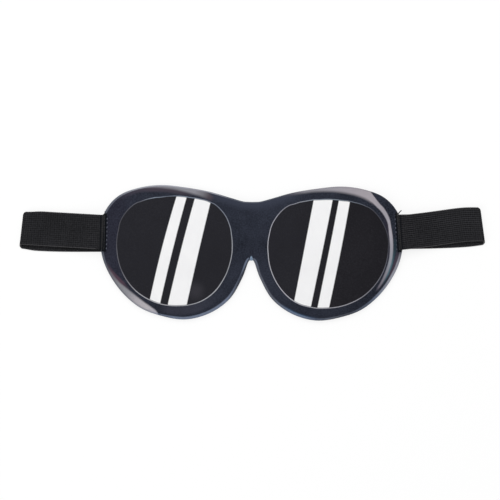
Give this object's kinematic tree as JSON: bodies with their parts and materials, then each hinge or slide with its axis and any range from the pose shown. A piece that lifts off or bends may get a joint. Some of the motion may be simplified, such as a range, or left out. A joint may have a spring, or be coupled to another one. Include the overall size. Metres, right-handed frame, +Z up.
{
  "type": "padded eye mask",
  "caption": "Soft padded eye mask with a nose notch and a goggle print, sewn to a flat elastic head loop, lying flat with its front up.",
  "frame": {"origin": "on the table under the middle of the mask, at the bottom centre of the bounding box", "axes": "+X from the left to the right temple as the picture shows them, +Y from the nose notch to the brow, +Z up from the table out of the printed front"},
  "size_m": [0.2845, 0.082, 0.008],
  "materials": {
    "printed_cloth": "smooth printed polyester knit, dark navy with white and grey print",
    "foam": "soft open-cell foam wadding",
    "lining": "brushed black knit",
    "elastic": "ribbed woven black elastic",
    "thread": "black polyester sewing thread"
  },
  "bodies": {
    "strap": {"strap_back": "elastic"},
    "mask": {"front_cover": "printed_cloth", "padding": "foam", "back_cover": "lining", "seam_thread": "thread", "strap_left": "elastic", "strap_right": "elastic", "stitching_left": "thread", "stitching_right": "thread"}
  },
  "joints": [
    {"name": "loop_stretch", "type": "slide", "parent": "strap", "child": "mask", "axis": [0, 0, 1], "range_m": [0, 0.06], "stiffness_N_per_m": 20, "deforming": ["strap_left", "strap_right"]}
  ]
}
